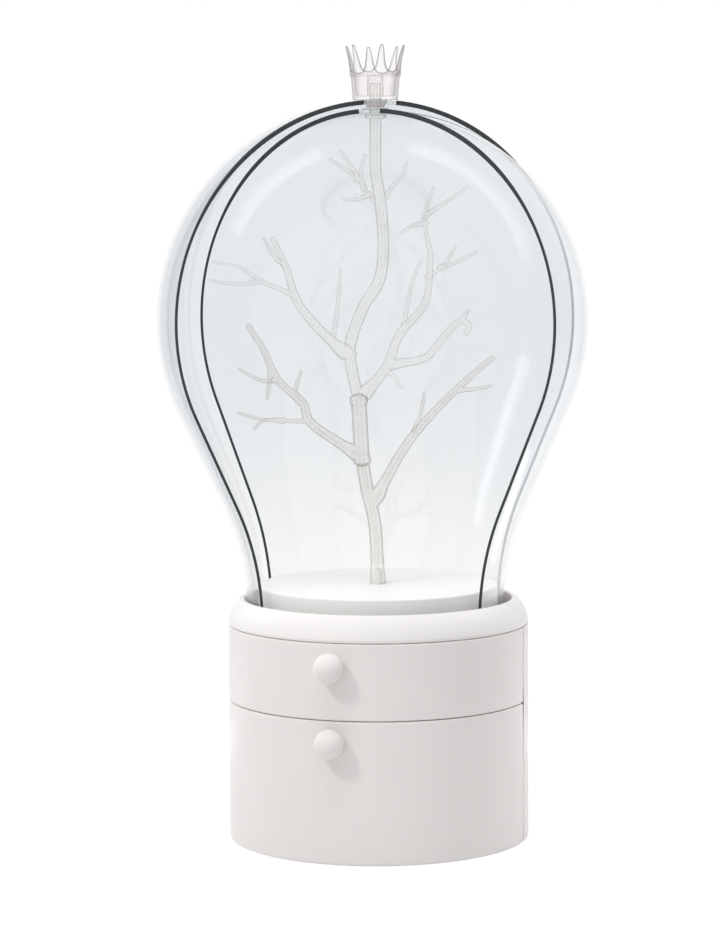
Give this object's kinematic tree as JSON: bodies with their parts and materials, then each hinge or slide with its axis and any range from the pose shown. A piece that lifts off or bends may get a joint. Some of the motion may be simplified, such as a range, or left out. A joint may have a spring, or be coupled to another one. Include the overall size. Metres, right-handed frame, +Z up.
{
  "type": "rotating jewelry box",
  "caption": "Round drawer base with a turning tray and clear display tree under a bulb-shaped dome of sliding half covers, topped by a small crown.",
  "frame": {"origin": "centre of the round underside, on the surface that the box stands on", "axes": "+Z up along the axis that the tray and covers turn about, -Y towards the front with the drawer knobs"},
  "size_m": [0.2269, 0.2097, 0.4202],
  "materials": {
    "white_plastic": "satin moulded white plastic",
    "tray_plastic": "satin moulded white plastic",
    "clear_plastic": "clear, polished",
    "tree_acrylic": "clear, slightly milky",
    "crown_acrylic": "clear, faint pink",
    "seal_rubber": "matt dark grey",
    "pad_rubber": "matt grey",
    "nylon": "natural",
    "steel": "zinc plated"
  },
  "bodies": {
    "base": {"non_slip_pad": "pad_rubber", "base_casing": "white_plastic", "middle_shelf": "white_plastic", "top_deck": "white_plastic", "collar_ring": "white_plastic", "collar_screw_1": "steel", "collar_screw_2": "steel", "collar_screw_3": "steel", "collar_screw_4": "steel", "bearing_lower_race": "steel", "lower_race_screw_1": "steel", "lower_race_screw_2": "steel", "lower_race_screw_3": "steel"},
    "lower_drawer": {"lower_drawer_tray": "tray_plastic", "lower_drawer_front": "white_plastic", "lower_drawer_knob": "white_plastic", "lower_knob_screw": "steel"},
    "upper_drawer": {"upper_drawer_tray": "tray_plastic", "upper_drawer_front": "white_plastic", "upper_drawer_knob": "white_plastic", "upper_knob_screw": "steel"},
    "ball_cage": {"bearing_cage": "nylon", "bearing_ball_1": "steel", "bearing_ball_2": "steel", "bearing_ball_3": "steel", "bearing_ball_4": "steel", "bearing_ball_5": "steel", "bearing_ball_6": "steel", "bearing_ball_7": "steel", "bearing_ball_8": "steel"},
    "carousel": {"turntable": "tray_plastic", "bearing_upper_race": "steel", "upper_race_screw_1": "steel", "upper_race_screw_2": "steel", "upper_race_screw_3": "steel", "turntable_bolt": "steel", "turntable_washer": "nylon", "turntable_nut": "steel", "lower_trunk": "tree_acrylic", "middle_trunk": "tree_acrylic", "winding_stem": "tree_acrylic", "left_lower_branch": "tree_acrylic", "left_upper_branch": "tree_acrylic", "right_lower_branch": "tree_acrylic", "right_middle_branch": "tree_acrylic", "right_hook_branch": "tree_acrylic", "top_left_twigs": "tree_acrylic", "top_right_twig": "tree_acrylic", "hub_lower_washer": "nylon", "hub_upper_washer": "nylon", "crown": "crown_acrylic"},
    "outer_half": {"outer_cover": "clear_plastic", "outer_cover_right_seal": "seal_rubber", "outer_cover_left_seal": "seal_rubber"},
    "inner_half": {"inner_cover": "clear_plastic", "inner_cover_right_seal": "seal_rubber", "inner_cover_left_seal": "seal_rubber"}
  },
  "joints": [
    {"name": "lower_drawer_slide", "type": "slide", "parent": "base", "child": "lower_drawer", "axis": [0, -1, 0], "range_m": [0, 0.1]},
    {"name": "upper_drawer_slide", "type": "slide", "parent": "base", "child": "upper_drawer", "axis": [0, -1, 0], "range_m": [0, 0.1]},
    {"name": "tray_turn", "type": "hinge", "parent": "base", "child": "carousel", "pos_m": [0, 0, 0.1355], "axis": [0, 0, 1], "continuous": true},
    {"name": "cage_turn", "type": "hinge", "parent": "base", "child": "ball_cage", "pos_m": [0, 0, 0.1196], "axis": [0, 0, 1], "continuous": true},
    {"name": "outer_cover_turn", "type": "hinge", "parent": "base", "child": "outer_half", "pos_m": [0, 0, 0.2755], "axis": [0, 0, 1], "continuous": true},
    {"name": "inner_cover_turn", "type": "hinge", "parent": "base", "child": "inner_half", "pos_m": [0, 0, 0.2755], "axis": [0, 0, 1], "continuous": true}
  ],
  "couplings": [
    {"joint": "cage_turn", "follows": "tray_turn", "ratio": 0.5}
  ]
}
